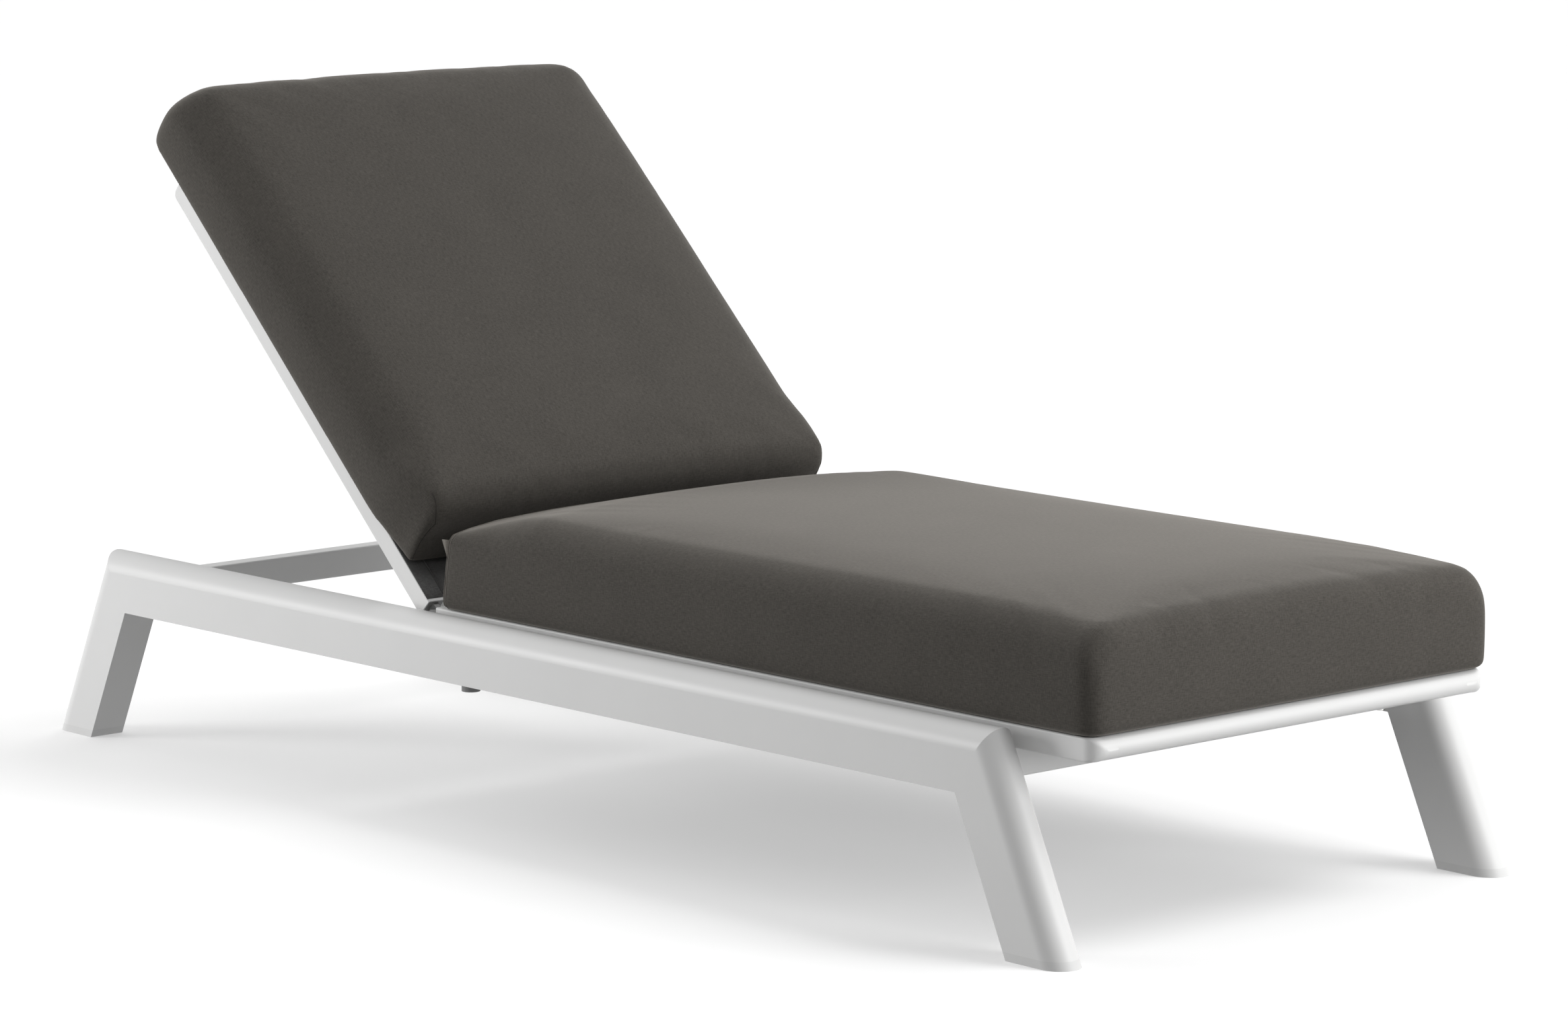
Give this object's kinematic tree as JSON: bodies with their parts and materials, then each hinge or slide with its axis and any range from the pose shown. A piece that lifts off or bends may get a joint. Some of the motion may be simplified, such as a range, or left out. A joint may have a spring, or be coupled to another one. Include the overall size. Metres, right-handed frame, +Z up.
{
  "type": "reclining sun lounger",
  "caption": "Low relaxation lounger with a splayed white metal frame, a tilting back and thick taupe cushions on stretched panels.",
  "frame": {"origin": "centre of the four feet on the floor", "axes": "+X to the foot end, +Y to the sitter's left, +Z up"},
  "size_m": [1.9452, 0.78, 0.8795],
  "materials": {
    "powder_coat": "matt white powder coat",
    "foot_plastic": "moulded, matt white",
    "wheel_rubber": "grey, matt",
    "steel": "plain zinc-plated steel",
    "black_steel": "satin black",
    "bearing_plastic": "black, matt",
    "knob_plastic": "mid grey, matt",
    "sling": "dark grey coated mesh, stretched",
    "cushion": "warm taupe-grey outdoor weave"
  },
  "bodies": {
    "frame": {"front_crossbar": "powder_coat", "left_front_foot": "foot_plastic", "left_front_leg": "powder_coat", "left_hinge_fork": "powder_coat", "left_hinge_nut": "steel", "left_hinge_pin": "steel", "left_hinge_washers": "bearing_plastic", "left_rail": "powder_coat", "left_rear_foot": "foot_plastic", "left_rear_leg": "powder_coat", "left_seat_tube": "powder_coat", "left_wheel_axle": "steel", "middle_crossbar": "powder_coat", "rear_crossbar": "powder_coat", "release_guide": "bearing_plastic", "right_front_foot": "foot_plastic", "right_front_leg": "powder_coat", "right_hinge_fork": "powder_coat", "right_hinge_nut": "steel", "right_hinge_pin": "steel", "right_hinge_washers": "bearing_plastic", "right_rail": "powder_coat", "right_rear_foot": "foot_plastic", "right_rear_leg": "powder_coat", "right_seat_tube": "powder_coat", "right_wheel_axle": "steel", "seat_cushion": "cushion", "seat_frame_bolts": "steel", "seat_front_rail": "powder_coat", "seat_panel": "sling", "seat_rear_tube": "powder_coat", "seat_strut_1": "powder_coat", "seat_strut_2": "powder_coat", "seat_strut_3": "powder_coat", "spring_foot_bracket": "powder_coat", "spring_foot_pin": "steel", "spring_foot_screws": "steel"},
    "backrest": {"back_cushion": "cushion", "back_lower_tube": "powder_coat", "back_panel": "sling", "back_spring_strut": "powder_coat", "back_top_rail": "powder_coat", "back_upper_strut": "powder_coat", "left_back_tube": "powder_coat", "left_hinge_bush": "bearing_plastic", "left_hinge_tongue": "powder_coat", "right_back_tube": "powder_coat", "right_hinge_bush": "bearing_plastic", "right_hinge_tongue": "powder_coat", "spring_head_bracket": "powder_coat", "spring_head_pin": "steel", "spring_head_screws": "steel"},
    "spring_cylinder": {"gas_cylinder": "black_steel"},
    "spring_rod": {"gas_rod": "steel", "gas_piston": "bearing_plastic"},
    "left_wheel": {"left_wheel": "wheel_rubber"},
    "right_wheel": {"right_wheel": "wheel_rubber"},
    "release_knob": {"release_knob": "knob_plastic"}
  },
  "joints": [
    {"name": "back_recline", "type": "hinge", "parent": "frame", "child": "backrest", "pos_m": [-0.225, 0, 0.243], "axis": [0, 1, 0], "range_deg": [-44, 10]},
    {"name": "spring_cylinder_pivot", "type": "hinge", "parent": "frame", "child": "spring_cylinder", "pos_m": [-0.22333, 0, 0.11801], "axis": [0, 1, 0], "range_deg": [-22, 5]},
    {"name": "spring_rod_pivot", "type": "hinge", "parent": "backrest", "child": "spring_rod", "pos_m": [-0.33515, 0, 0.3021], "axis": [0, 1, 0], "range_deg": [-5, 22]},
    {"name": "left_wheel_spin", "type": "hinge", "parent": "frame", "child": "left_wheel", "pos_m": [-0.9429, 0.364, 0.026], "axis": [0, 1, 0], "continuous": true},
    {"name": "right_wheel_spin", "type": "hinge", "parent": "frame", "child": "right_wheel", "pos_m": [-0.9429, -0.364, 0.026], "axis": [0, 1, 0], "continuous": true},
    {"name": "release_knob_travel", "type": "slide", "parent": "frame", "child": "release_knob", "axis": [0, 0, 1], "range_m": [0, 0.006], "stiffness_N_per_m": 300, "springref_m": -0.004}
  ],
  "couplings": [
    {"joint": "spring_cylinder_pivot", "follows": "back_recline", "ratio": 0.5},
    {"joint": "spring_rod_pivot", "follows": "back_recline", "ratio": -0.5}
  ]
}
